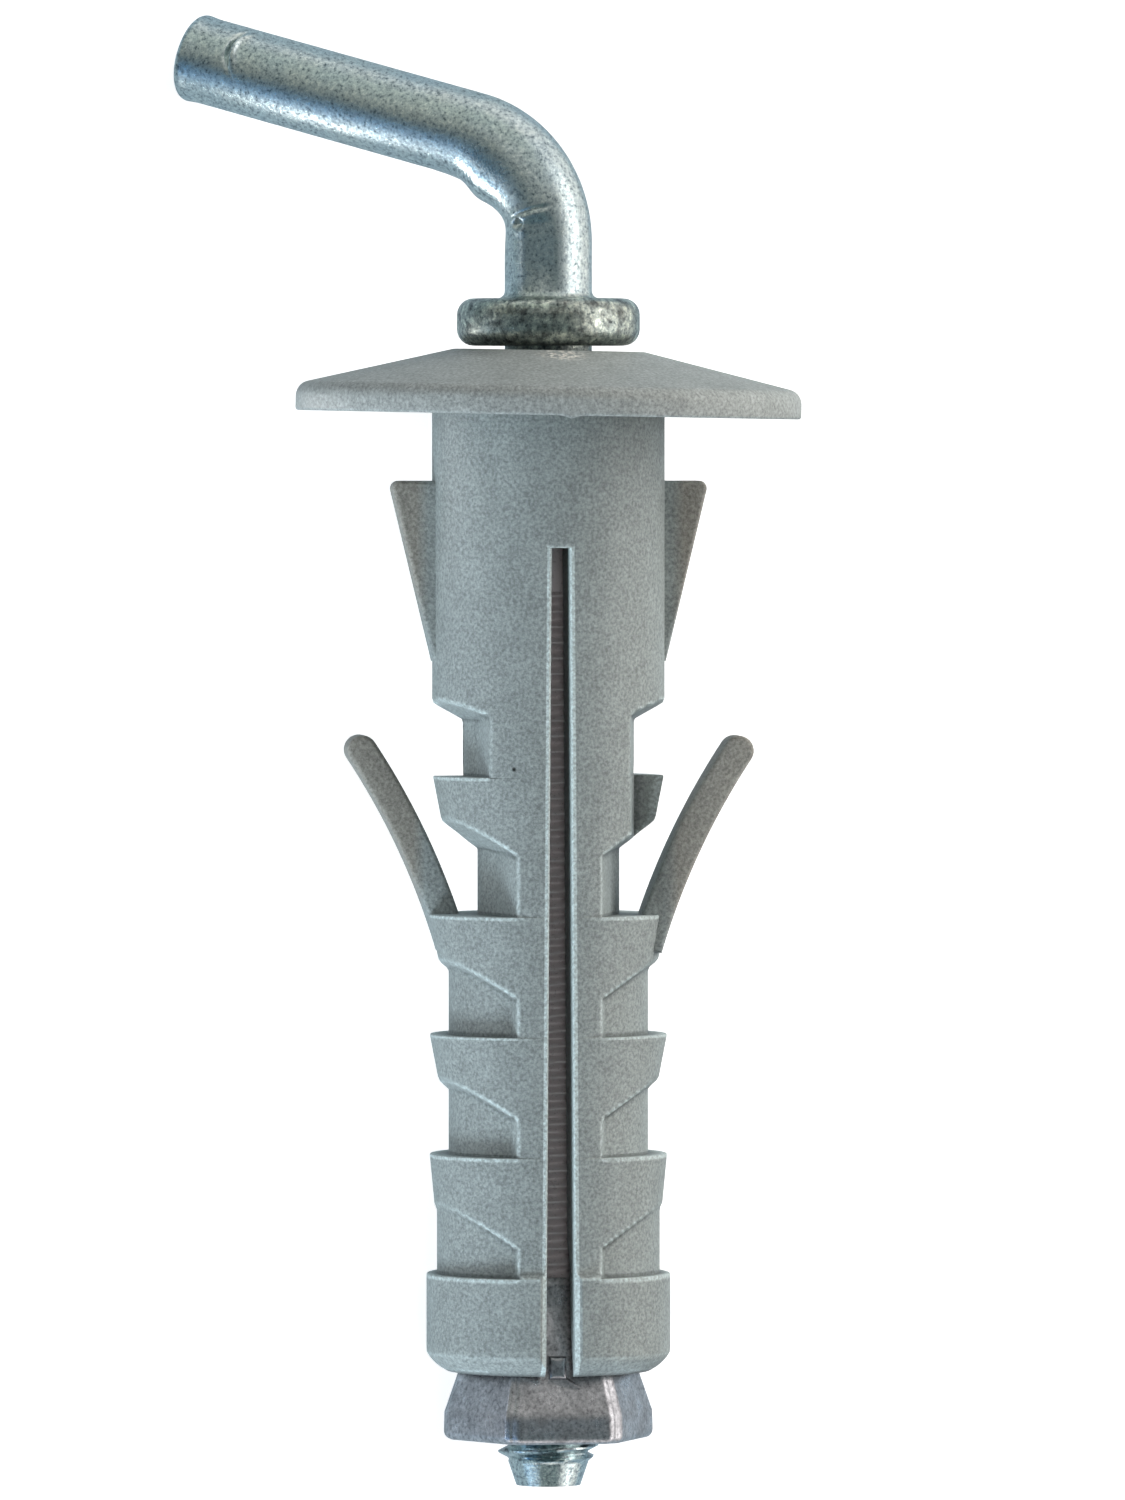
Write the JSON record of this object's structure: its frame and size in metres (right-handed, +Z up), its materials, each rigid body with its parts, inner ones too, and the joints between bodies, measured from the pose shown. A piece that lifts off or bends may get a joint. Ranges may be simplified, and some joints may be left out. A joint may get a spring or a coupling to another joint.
{
  "type": "hook wall plug",
  "caption": "Angle hook with a cover rosette, a barbed nylon expansion sleeve and a cone nut that spreads the sleeve as the hook is turned in.",
  "frame": {"origin": "bottom centre of the bounding box, on the floor that the plug lies on", "axes": "-X along the plug's axis towards the hook, tipped up 8 degrees; +Z up off the floor; the hook's arm dips towards -Y"},
  "size_m": [0.0774, 0.0296, 0.0259],
  "materials": {
    "zinc_steel": "zinc plated, mottled, semi-bright",
    "sleeve_nylon": "moulded, fine texture",
    "rosette_nylon": "moulded, smooth",
    "nut_metal": "die cast, dull"
  },
  "bodies": {
    "hook": {"angle_hook": "zinc_steel"},
    "sleeve": {"plug_sleeve": "sleeve_nylon", "rosette": "rosette_nylon"},
    "nut": {"cone_nut": "nut_metal"}
  },
  "joints": [
    {"name": "sleeve_turn", "type": "hinge", "parent": "hook", "child": "sleeve", "pos_m": [-0.01624, 0.0017, 0.0129], "axis": [-0.9904, 0, 0.1379], "range_deg": [-360, 225]},
    {"name": "nut_slide", "type": "slide", "parent": "sleeve", "child": "nut", "axis": [-0.9904, 0, 0.1379], "range_m": [-0.0008, 0.0005]}
  ],
  "couplings": [
    {"joint": "nut_slide", "follows": "sleeve_turn", "m_per_rad": 0.00012732}
  ]
}
